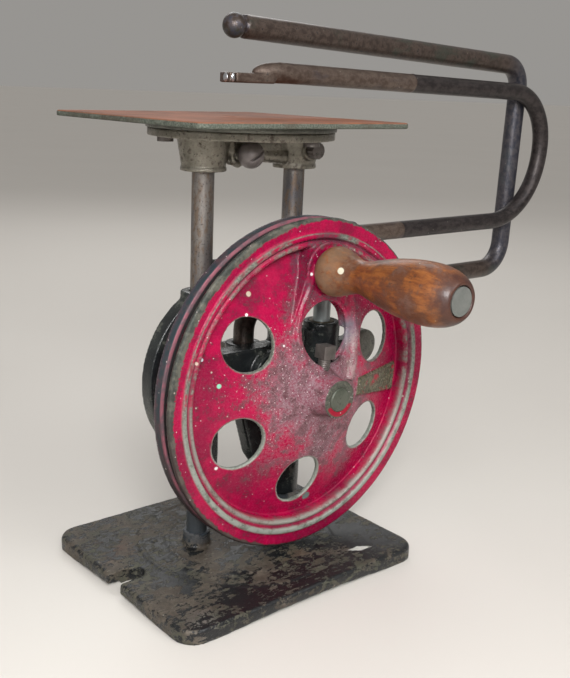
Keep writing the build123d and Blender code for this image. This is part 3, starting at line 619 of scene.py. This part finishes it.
def base_paint():
    """Black paint on the base, mostly worn through to brown-grey iron, one pale splash, a lighter
    front corner that is partly rubbed and partly a painted highlight, and a painted bluish
    highlight on the left post's collar.
    """
    look = Look("worn_black_base")
    broad = look.noise(26, 5, 0.62)
    medium = look.noise(6.0, 8, 0.75)
    streaks = look.noise(2.6, 6, 0.7, (2.6, 1.0, 1.0))
    fine = look.noise(0.9, 4, 0.72)
    iron = look.mix(look.step(medium, 0.38, 0.62), (0.052, 0.040, 0.029), (0.135, 0.112, 0.085))
    iron = look.over(iron, (0.27, 0.235, 0.185), look.step(streaks, 0.54, 0.64), 0.8)
    olive = look.step(look.total(broad, look.times(fine, 0.3)), 0.58, 0.72)
    iron = look.over(iron, (0.070, 0.078, 0.052), olive, 0.6)
    # Lighter front corner: partly rubbed iron and partly a painted highlight.
    rubbed = look.times(look.blob((-74, -66, 7), 6, 9), look.step(medium, 0.36, 0.5))
    iron = look.over(iron, (0.26, 0.23, 0.215), rubbed, 0.7)
    iron = look.over(iron, (0.030, 0.027, 0.028), look.step(fine, 0.52, 0.62), 0.7)
    iron = look.over(iron, (0.075, 0.024, 0.012), look.blob((-66, 34, 9), 14, 18),
                     look.step(medium, 0.44, 0.6), 0.85)
    iron = look.over(iron, (0.20, 0.10, 0.05), look.blob((14, -36, 9), 10, 14),
                     look.step(fine, 0.44, 0.6), 0.6)
    left = look.blend(*[(look.blob(place, radius, soft), weight)
                        for place, radius, soft, weight in PAINT_LEFT])
    cover = look.total(look.times(broad, 0.22), look.times(medium, 0.44),
                       look.times(streaks, 0.40), left)
    paint_left = look.step(look.total(cover, look.times(fine, 0.10)), 0.576, 0.594)
    colour = look.mix(paint_left, iron, (0.006, 0.007, 0.008))
    # Painted bluish highlight on the collar round the left post's foot.
    collar = look.blob((POST_LEFT.x / MM, POST_LEFT.y / MM, 16), 8.5, 3)
    collar = look.times(collar, look.step(look.z, 10, 12))
    collar_painted_highlight = look.mix(fine, (0.035, 0.05, 0.06), (0.10, 0.125, 0.16))
    colour = look.over(colour, collar_painted_highlight, collar, 0.9)
    splash = base_splash(look, medium, fine)
    colour = look.over(colour, (0.60, 0.61, 0.56), splash)
    colour = look.over(colour, (0.40, 0.37, 0.31), look.specks(8, 0.5, 0.25))
    roughness = look.total(0.50, look.times(paint_left, -0.36), look.times(fine, 0.14),
                           look.times(collar, -0.2))
    height = look.blend((medium, 0.7), (fine, 0.45), (paint_left, 0.5))
    metal = look.times(look.minus(1.0, paint_left), look.minus(1.0, splash), 0.15)
    return look.finish(colour, roughness, metal, height, 0.55)


def post_steel():
    """Pitted grey-brown steel, an olive-brown patina low on the posts, and a painted bluish
    highlight at their feet.
    """
    look = Look("pitted_grey_steel")
    broad = look.noise(14, 4, 0.6, (1.0, 1.0, 3.0))
    medium = look.noise(3.2, 6, 0.72, (1.0, 1.0, 3.0))
    pits = look.noise(1.1, 5, 0.75)
    tone = look.mix(look.step(broad, 0.38, 0.62), (0.215, 0.195, 0.18), (0.11, 0.105, 0.11))
    tone = look.over(tone, (0.165, 0.115, 0.080), look.step(medium, 0.47, 0.60), 0.8)
    tone = look.over(tone, (0.040, 0.035, 0.037), look.step(pits, 0.56, 0.63), 0.85)
    low = look.step(look.total(look.z, look.times(medium, 30)), 108, 78)
    olive = look.mix(look.step(medium, 0.4, 0.6), (0.062, 0.052, 0.026), (0.125, 0.105, 0.065))
    colour = look.over(tone, olive, low, 0.85)
    # Painted bluish highlight on the lowest part of the posts.
    foot = look.mix(pits, (0.030, 0.040, 0.048), (0.085, 0.105, 0.13))
    colour = look.over(colour, foot, look.step(look.z, 44, 34), 0.85)
    colour = look.over(colour, (0.40, 0.38, 0.34), look.specks(5, 0.3, 0.3))
    roughness = look.total(0.28, look.times(medium, 0.2), look.times(low, 0.06))
    metal = look.total(0.75, look.times(low, -0.4))
    return look.finish(colour, roughness, metal, look.blend((medium, 0.5), (pits, -0.6)), 0.16)


def arm_steel():
    """Dark forged steel of the overarm: mottled brown, green and black, with painted bluish
    highlights on its upright and on its ball.
    """
    look = Look("dark_forged_steel")
    broad = look.noise(15, 5, 0.65, (1.8, 1.0, 1.0))
    medium = look.noise(3.6, 6, 0.72)
    fine = look.noise(0.8, 4, 0.7)
    tone = look.mix(look.step(medium, 0.40, 0.60), (0.038, 0.026, 0.021), (0.084, 0.060, 0.048))
    tone = look.over(tone, (0.040, 0.048, 0.036), look.step(broad, 0.52, 0.66), 0.75)
    black = look.step(look.blend((medium, 0.7), (fine, 0.4)), 0.60, 0.68)
    tone = look.over(tone, (0.014, 0.013, 0.015), black)
    # Painted blue-grey highlight along the overarm's upright.
    upright = look.step(look.total(look.x, look.times(medium, 8)), 250, 274)
    painted_upright_highlight = look.mix(look.step(medium, 0.42, 0.6), (0.028, 0.034, 0.052), (0.068, 0.066, 0.078))
    tone = look.over(tone, painted_upright_highlight, upright, 0.75)
    # Painted bluish highlight on the ball at the overarm's end.
    tone = look.over(tone, (0.045, 0.055, 0.085), look.blob(BALL, 8.5, 1.5),
                     look.step(medium, 0.44, 0.60), 0.5)
    tone = look.over(tone, (0.34, 0.30, 0.25), look.specks(4.5, 0.3, 0.3))
    roughness = look.total(0.20, look.times(medium, 0.24), look.times(fine, 0.1))
    return look.finish(tone, roughness, 0.45, look.blend((medium, 0.7), (fine, 0.4)), 0.22)


def saw_rod_steel():
    """Greyish olive-brown steel of the saw frame, lighter along its sleeve than beyond the lap."""
    look = Look("saw_frame_steel")
    broad = look.noise(18, 5, 0.65, (2.0, 1.0, 1.0))
    medium = look.noise(3.4, 6, 0.72, (1.6, 1.0, 1.0))
    fine = look.noise(0.8, 4, 0.7)
    tone = look.mix(look.step(medium, 0.38, 0.62), (0.068, 0.045, 0.035), (0.128, 0.095, 0.076))
    tone = look.over(tone, (0.075, 0.066, 0.075), look.step(broad, 0.50, 0.64), 0.6)
    stains = look.step(look.blend((medium, 0.6), (fine, 0.5)), 0.61, 0.70)
    tone = look.over(tone, (0.045, 0.036, 0.030), stains)
    beyond = look.total(look.x, look.times(medium, 3))
    dark = look.mix(look.step(medium, 0.4, 0.6), (0.020, 0.016, 0.016), (0.046, 0.037, 0.036))
    tone = look.over(tone, dark, look.step(beyond, SAW_LAP + 1.2, SAW_LAP + 1.8))
    tone = look.over(tone, (0.42, 0.38, 0.32), look.specks(4, 0.3, 0.3))
    roughness = look.total(0.24, look.times(medium, 0.24), look.times(fine, 0.1))
    return look.finish(tone, roughness, 0.55, look.blend((medium, 0.7), (fine, 0.4)), 0.15)


def black_enamel():
    """Glossy black paint with dusty, greenish-grey wear on the working parts behind the wheel."""
    look = Look("black_enamel")
    broad = look.noise(20, 4, 0.6)
    medium = look.noise(5, 6, 0.7)
    fine = look.noise(1.0, 4, 0.7)
    colour = look.mix(look.step(broad, 0.4, 0.62), (0.010, 0.012, 0.013), (0.022, 0.026, 0.024))
    worn = look.step(look.blend((broad, 0.5), (medium, 0.5)), 0.55, 0.63)
    dust = look.mix(fine, (0.05, 0.055, 0.045), (0.11, 0.11, 0.09))
    colour = look.over(colour, dust, worn, 0.85)
    lug = look.times(look.blob(LUG, 13, 4),
                     look.step(look.total(medium, look.times(fine, 0.4)), 0.52, 0.66))
    lug_tone = look.mix(fine, (0.12, 0.12, 0.095), (0.24, 0.235, 0.19))
    colour = look.over(colour, lug_tone, lug, 0.9)
    roughness = look.total(0.2, look.times(worn, 0.3), look.times(fine, 0.1))
    return look.finish(colour, roughness, 0.0, look.blend((medium, 0.7), (fine, 0.3)), 0.3)


def grip_wood():
    """Turned hardwood with worn orange-brown varnish, darker at its end and dusty at its bead."""
    look = Look("worn_varnished_wood")
    grain = look.noise(2.4, 6, 0.65, (1.0, 7.0, 1.0))
    pores = look.noise(0.7, 3, 0.6, (1.0, 5.0, 1.0))
    patches = look.noise(13, 6, 0.68)
    blotch = look.noise(4.6, 6, 0.72)
    fine = look.noise(1.2, 4, 0.7)
    low, high = GRIP_LOW.y / MM, GRIP_HIGH.y / MM
    colour = look.mix(look.step(grain, 0.36, 0.66), (0.25, 0.086, 0.022), (0.140, 0.043, 0.014))
    colour = look.over(colour, (0.092, 0.036, 0.020), look.step(patches, 0.44, 0.58), 0.85)
    rubbed = look.step(look.blend((patches, 0.5), (blotch, 0.6)), 0.57, 0.66)
    colour = look.over(colour, (0.135, 0.075, 0.055), rubbed, 0.6)
    colour = look.over(colour, (0.045, 0.020, 0.014), look.step(blotch, 0.60, 0.70), 0.7)
    colour = look.over(colour, (0.05, 0.02, 0.012), look.step(pores, 0.56, 0.68), 0.5)
    near_bead = look.step(look.y, high - 34, high - 5)
    dusty = look.total(blotch, look.times(near_bead, 0.12))
    dusty = look.times(near_bead, look.step(dusty, 0.46, 0.60))
    dust = look.mix(fine, (0.125, 0.072, 0.040), (0.20, 0.135, 0.082))
    colour = look.over(colour, dust, dusty, 0.8)
    end = look.step(look.total(look.y, look.times(blotch, 8)), low + 13, low + 6)
    colour = look.over(colour, (0.035, 0.013, 0.011), end, 0.85)
    drop = (GRIP.x / MM + GRIP_DROP[0], GRIP_DROP[1], GRIP.z / MM + GRIP_DROP[2])
    colour = look.over(colour, (0.55, 0.52, 0.40), look.blob(drop, GRIP_DROP_R, 0.25))
    colour = look.over(colour, (0.46, 0.38, 0.25), look.specks(6, 0.4, 0.35))
    roughness = look.total(0.24, look.times(patches, 0.2), look.times(dusty, 0.25),
                           look.times(blotch, 0.15))
    height = look.blend((grain, 0.5), (pores, -0.5), (blotch, 0.5))
    return look.finish(colour, roughness, 0.0, height, 0.2, coat=0.12, specular=0.35)


def table_copper():
    """Copper-brown worn steel plate whose edge is greenish grey."""
    look = Look("copper_brown_table")
    broad = look.noise(30, 4, 0.6)
    scratches = look.noise(2.2, 5, 0.7, (9.0, 1.0, 1.0))
    fine = look.noise(0.9, 4, 0.7)
    face = look.mix(look.step(broad, 0.38, 0.64), (0.25, 0.096, 0.052), (0.175, 0.076, 0.046))
    face = look.over(face, (0.13, 0.090, 0.075), look.step(scratches, 0.50, 0.64), 0.5)
    edge = look.mix(look.step(fine, 0.4, 0.6), (0.050, 0.056, 0.045), (0.13, 0.14, 0.115))
    edge = look.over(edge, (0.065, 0.052, 0.040), look.step(broad, 0.5, 0.62), 0.5)
    height = look.total(look.z, look.times(fine, 0.4))
    on_top = look.step(height, TABLE_HIGH.z / MM - 0.5, TABLE_HIGH.z / MM - 0.15)
    colour = look.mix(on_top, edge, face)
    colour = look.over(colour, (0.55, 0.5, 0.42), look.specks(7, 0.35, 0.3))
    roughness = look.total(0.50, look.times(broad, 0.15), look.times(fine, 0.12))
    relief = look.total(look.times(scratches, 0.5), fine)
    return look.finish(colour, roughness, 0.1, relief, 0.08, specular=0.08)


LOOKS = {
    "wheel_red": WheelLook().build(),
    "base_iron": base_paint(),
    "black_iron": black_enamel(),
    "grip_wood": grip_wood(),
    "table_steel": table_copper(),
    "post_steel": post_steel(),
    "arm_steel": arm_steel(),
    "bush_bronze": aged_metal(
        "oily_bronze", (0.13, 0.10, 0.055), (0.085, 0.065, 0.04), (0.03, 0.026, 0.02),
        metal=0.7, rough=0.4),
    "bracket_iron": aged_metal(
        "aged_grey_green_iron", (0.125, 0.115, 0.090), (0.32, 0.295, 0.245),
        (0.050, 0.036, 0.024), metal=0.6, rough=0.30, stain_share=0.7, pit=0.35),
    "screw_steel": aged_metal(
        "worn_screw_steel", (0.085, 0.074, 0.068), (0.165, 0.145, 0.135),
        (0.035, 0.028, 0.025), metal=0.6, rough=0.42),
}
# These nodes look unlike the others of their slot.
NODE_LOOKS = {
    "saw_frame": saw_rod_steel(),
    # Pale steel for the plunger, painted paler still as painted light, since it stands in shade
    # behind the wheel.
    "plunger_rod": aged_metal(
        "plunger_steel_painted_lit", (0.52, 0.58, 0.58), (0.38, 0.43, 0.43), (0.20, 0.21, 0.20),
        metal=0.25, rough=0.34, stain_share=0.3, stretch=(1.0, 1.0, 6.0), pit=0.05),
    "crankshaft": aged_metal(
        "weathered_shaft_steel", (0.050, 0.058, 0.042), (0.100, 0.105, 0.082),
        (0.030, 0.027, 0.020), metal=0.35, rough=0.48, pit=0.25),
    "handle_pin": aged_metal(
        "dull_rivet_steel", (0.130, 0.138, 0.128), (0.205, 0.21, 0.195), (0.065, 0.06, 0.05),
        metal=0.4, rough=0.48, pit=0.25),
    "table_plate": aged_metal(
        "dark_flange_iron", (0.055, 0.055, 0.045), (0.16, 0.16, 0.135), (0.020, 0.018, 0.014),
        metal=0.5, rough=0.34, stain_share=0.6, pit=0.3),
    "table_clamp_screw": aged_metal(
        "clamp_screw_steel", (0.13, 0.11, 0.107), (0.20, 0.175, 0.168), (0.07, 0.055, 0.05),
        metal=0.4, rough=0.42, stain_share=0.4),
}
STUD_LOOK = aged_metal(
    "bright_steel", (0.55, 0.56, 0.58), (0.40, 0.41, 0.44), (0.2, 0.2, 0.2),
    metal=0.9, rough=0.22, stain_share=0.2)


# ---- pieces ---------------------------------------------------------------------------------
def plaque_point(along, across):
    """Point on the plaque's face, in millimetres along it from the shaft and across it."""
    place = SHAFT - ARM_SIDE * (along * MM) + ARM_OUT * (across * MM)
    return Vector((place.x, (web_y(along, across) - PLAQUE_RAISED) * MM, place.z))


def plaque_relief():
    """Border of the plaque and a row of diamonds inside it."""
    outline = []
    for (a, b), (c, d) in zip(BORDER, BORDER[1:]):
        for k in range(10):
            outline.append(plaque_point(a + (c - a) * k / 10, b + (d - b) * k / 10))
    relief = [rope(outline, BORDER_R * MM, closed=True)]
    for k in range(DIAMONDS):
        u = DIAMOND_START + DIAMOND_STEP * k
        size = 2.0 + 0.25 * k
        corners = [(u - size, 0), (u, size * 1.3), (u + size, 0), (u, -size * 1.3)]
        points = [plaque_point(a, b) for a, b in corners]
        relief.append(rope(points, DIAMOND_R * MM, closed=True))
    return relief


def wheel_extras():
    """Ribs beside the crank arm's window, lips round it and its boss, and the plaque's relief."""
    extras = []
    for path, radius in ((RIB_RIGHT, RIB_RIGHT_R), (RIB_LEFT, RIB_LEFT_R)):
        points = [arm_point(along, across, min(web_y(along, across), RIB_Y) - RIB_RAISED)
                  for along, across in path]
        extras.append(rope(points, radius * MM))
    lip = []
    for angle in map(radians, WINDOW_ARC):
        lip.append(arm_point(WINDOW[0] + WINDOW_SIZE[0] * cos(angle),
                             WINDOW[1] + WINDOW_SIZE[1] * sin(angle), LIP_Y))
    extras.append(rope(lip, WINDOW_LIP_R * MM))
    boss = [arm_point(ARM.length / MM + BOSS_R * cos(angle), BOSS_R * sin(angle), LIP_Y)
            for angle in circle(48)]
    extras.append(rope(boss, BOSS_LIP_R * MM, closed=True))
    return extras + plaque_relief()


def set_screw_threads():
    """Thread ridges on the neck of the hub's set screw."""
    rings = []
    for k in range(THREADS):
        centre = SHAFT + ARM_OUT * ((THREAD_START + THREAD_STEP * k) * MM)
        centre.y = middle("hub_set_screw").y
        points = []
        for angle in circle(32):
            spoke = ARM_SIDE * cos(angle) + Vector((0, 1, 0)) * sin(angle)
            points.append(centre + spoke * (SCREW_NECK_R * MM))
        rings.append(rope(points, THREAD_R * MM, 8, closed=True))
    return rings


def bracket_extras():
    """Curved rib beside the left boss, an arch between the bosses and the clamp screw's neck."""
    left, right = POST_LEFT / MM, POST_RIGHT / MM
    clamp, foot, top = CLAMP / MM, BRACKET_LOW.z / MM, BRACKET_HIGH.z / MM
    x, y = left.x, left.y
    rib = ((x + 13, y - 9, top - 5), (x + 12, y - 10, foot + 10), (x + 13, y - 9.5, foot + 5),
           (x + 18, y - 7.5, foot + 3.5), (x + 24, y - 6, foot + 5.5))
    arch = ((x + 14, y - 4, foot + 7), (clamp.x, y - 3, foot + 9), (right.x - 12, y - 4, foot + 7))
    neck = ((clamp.x, y - 9.5, clamp.z), (clamp.x, y - 6, clamp.z))
    ropes = ((rib, (2.0, 2.2, 2.2, 2.2, 1.6), 12), (arch, (4.6, 3.6, 4.6), 12),
             (neck, (5.4, 6.2), 24))
    return [rope([Vector(point) * MM for point in path], [radius * MM for radius in radii], sides)
            for path, radii, sides in ropes]


def ribbed_screw():
    """Ribs round the head of the bracket's small screw."""
    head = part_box("bracket_screw")[0].y
    centre = middle("bracket_screw")
    ribs = []
    for angle in circle(SCREW_RIBS):
        side = Vector((cos(angle), 0, sin(angle))) * (SCREW_RIB_RING * MM)
        ends = [Vector((centre.x, head + reach * MM, centre.z)) + side
                for reach in SCREW_RIB_ENDS]
        ribs.append(rope(ends, SCREW_RIB_R * MM, 8))
    return ribs


def saw_axis(x):
    """Point on the axis of the saw frame's upper leg at x millimetres."""
    z = SAW_AXIS_Z - (x - SAW_AXIS_X) * SAW_DROOP
    return Vector((x * MM, middle("saw_frame").y, z * MM))


def saw_extras():
    """Slight swelling of the saw frame's shoulder and the rounded end of its sleeve."""
    points = [saw_axis(x) - Vector((0, 0, drop * MM)) for x, drop, radius in SHOULDER]
    radii = [radius * MM for x, drop, radius in SHOULDER]
    sleeve_end = []
    for angle in circle(40):
        centre = saw_axis(SAW_LAP - 0.3 + SLEEVE_WAVE * sin(angle))
        sleeve_end.append(centre + Vector((0, cos(angle), sin(angle))) * (SLEEVE_R * MM))
    return [rope(points, radii, SHOULDER_SIDES),
            rope(sleeve_end, SLEEVE_LIP_R * MM, SLEEVE_SIDES, closed=True)]


def blade_catch():
    """Two bright lens-shaped studs, on the left and front faces of the saw frame's tab."""
    x, y = SAW_LOW.x / MM, middle("saw_frame").y / MM
    studs = [ball(Vector((x + dx, y + dy, STUD_Z)) * MM, MM, size) for (dx, dy), size in STUDS]
    piece = new_object("blade_catch_studs", merge(bmesh.new(), studs))
    piece.data.shade_smooth()
    paint(piece, STUD_LOOK)
    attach(piece, "saw_carriage")


def make_pieces():
    """Finished pieces that stand for the CAD nodes that can be seen closely."""
    # Voxel size and rounds of smoothing, share of faces kept, unevenness, and added shapes.
    settings = {
        "crank_wheel": (0.65, 3, 0.33, 0.25, wheel_extras()),
        "handle_grip": (0.8, 6, 1.0, 0.25, ()),
        "base_plate": (0.85, 3, 0.5, 0.5, ()),
        "frame_casting": (0.9, 5, 0.5, 0.4, ()),
        "table_bracket": (0.6, 5, 0.45, 0.35, bracket_extras()),
        "table_plate": (0.8, 3, 0.4, 0.15, ()),
        "table_top": (0.7, 3, 0.35, 0.12, ()),
        "saw_frame": (0.6, 5, 0.6, 0.12, saw_extras()),
        "overarm": (0.75, 4, 0.6, 0.12, ()),
        "table_clamp_screw": (0.35, 3, 0.7, 0.1, ()),
        "bracket_screw": (0.28, 2, 0.6, 0.0, ribbed_screw()),
        "hub_set_screw": (0.28, 3, 0.6, 0.1, set_screw_threads()),
        "crosshead": (0.55, 4, 0.6, 0.2, ()),
        "connecting_rod": (0.55, 4, 0.6, 0.2, ()),
        "blade_bar": (0.6, 3, 0.6, 0.1, ()),
        "blade_holder": (0.35, 3, 0.5, 0.1, ()),
    }
    shown = {**NODES, **{node: soften(node, *values) for node, values in settings.items()}}
    for node, part in shown.items():
        paint(part, NODE_LOOKS.get(node, LOOKS[SLOT_OF[node]]))


# ---- stage ----------------------------------------------------------------------------------
FLOOR_RADIUS = 30                                   # metres
SURROUND, SURROUND_STRENGTH = (0.86, 0.83, 0.79, 1), 0.36
LIT_POINT = Vector((0.05, 0, 0.15))
# Name, place and size in metres, and power in watts.
LAMPS = (
    ("key", (-0.40, -0.56, 0.50), 0.24, 6.3),
    ("fill", (0.25, -1.15, 0.95), 0.50, 5.5),
    ("side", (-1.3, -0.2, 0.7), 0.90, 3),
    ("rim", (0.7, 1.0, 1.1), 0.80, 6),
)
OVERHEAD_STRENGTH, OVERHEAD_SPREAD = 0.75, radians(70)
OVERHEAD_TILT = (radians(28), radians(-14), 0)
CAMERA_PLACE = (-337.1, -418.6, 283.8)              # millimetres
HEADING, PITCH, ROLL = radians(39.32), radians(17.51), radians(2.02)
SENSOR, LENS, SHIFT = 36, 49.7, (0.0534, 0.0606)    # sensor and lens in millimetres


def make_floor():
    """Plain pale floor, large enough to reach the horizon from every side."""
    bm = bmesh.new()
    bmesh.ops.create_circle(bm, cap_ends=True, segments=96, radius=FLOOR_RADIUS)
    floor = new_object("floor", bm)
    floor.location.z = BASE_LOW.z
    look = Look("pale_floor")
    tone = look.mix(look.noise(400, 3, 0.5), (0.60, 0.57, 0.53), (0.64, 0.61, 0.57))
    paint(floor, look.finish(tone, 0.55))


def make_light():
    """Soft studio light: key, fill, side and rim lamps, a broad sun and a pale surround."""
    world = bpy.data.worlds.new("surround")
    bpy.context.scene.world = world
    world.use_nodes = True
    background = world.node_tree.nodes["Background"]
    background.inputs["Color"].default_value = SURROUND
    background.inputs["Strength"].default_value = SURROUND_STRENGTH
    for name, place, size, power in LAMPS:
        lamp = bpy.data.lights.new(name, "AREA")
        lamp.size = size
        lamp.energy = power
        holder = bpy.data.objects.new(name, lamp)
        holder.location = place
        aim = LIT_POINT - Vector(place)
        holder.rotation_euler = aim.to_track_quat("-Z", "Y").to_euler()
        bpy.context.scene.collection.objects.link(holder)
    sun = bpy.data.lights.new("overhead", "SUN")
    sun.energy = OVERHEAD_STRENGTH
    sun.angle = OVERHEAD_SPREAD
    holder = bpy.data.objects.new("overhead", sun)
    holder.rotation_euler = OVERHEAD_TILT
    bpy.context.scene.collection.objects.link(holder)


def make_camera():
    """Camera seen a little from the left and above."""
    forward = Vector((sin(HEADING) * cos(PITCH), cos(HEADING) * cos(PITCH), -sin(PITCH)))
    level = Vector((cos(HEADING), -sin(HEADING), 0))
    right = level * cos(ROLL) + level.cross(forward) * sin(ROLL)
    up = right.cross(forward)
    data = bpy.data.cameras.new("camera")
    data.sensor_fit = "VERTICAL"
    data.sensor_height = SENSOR
    data.lens = LENS
    data.shift_x, data.shift_y = SHIFT
    camera = bpy.data.objects.new("camera", data)
    turn = Matrix((right, up, -forward)).transposed()
    camera.matrix_world = Matrix.Translation(Vector(CAMERA_PLACE) * MM) @ turn.to_4x4()
    bpy.context.scene.collection.objects.link(camera)
    bpy.context.scene.camera = camera


make_pieces()
blade_catch()
make_floor()
make_light()
make_camera()
bpy.context.scene.view_settings.view_transform = "Standard"
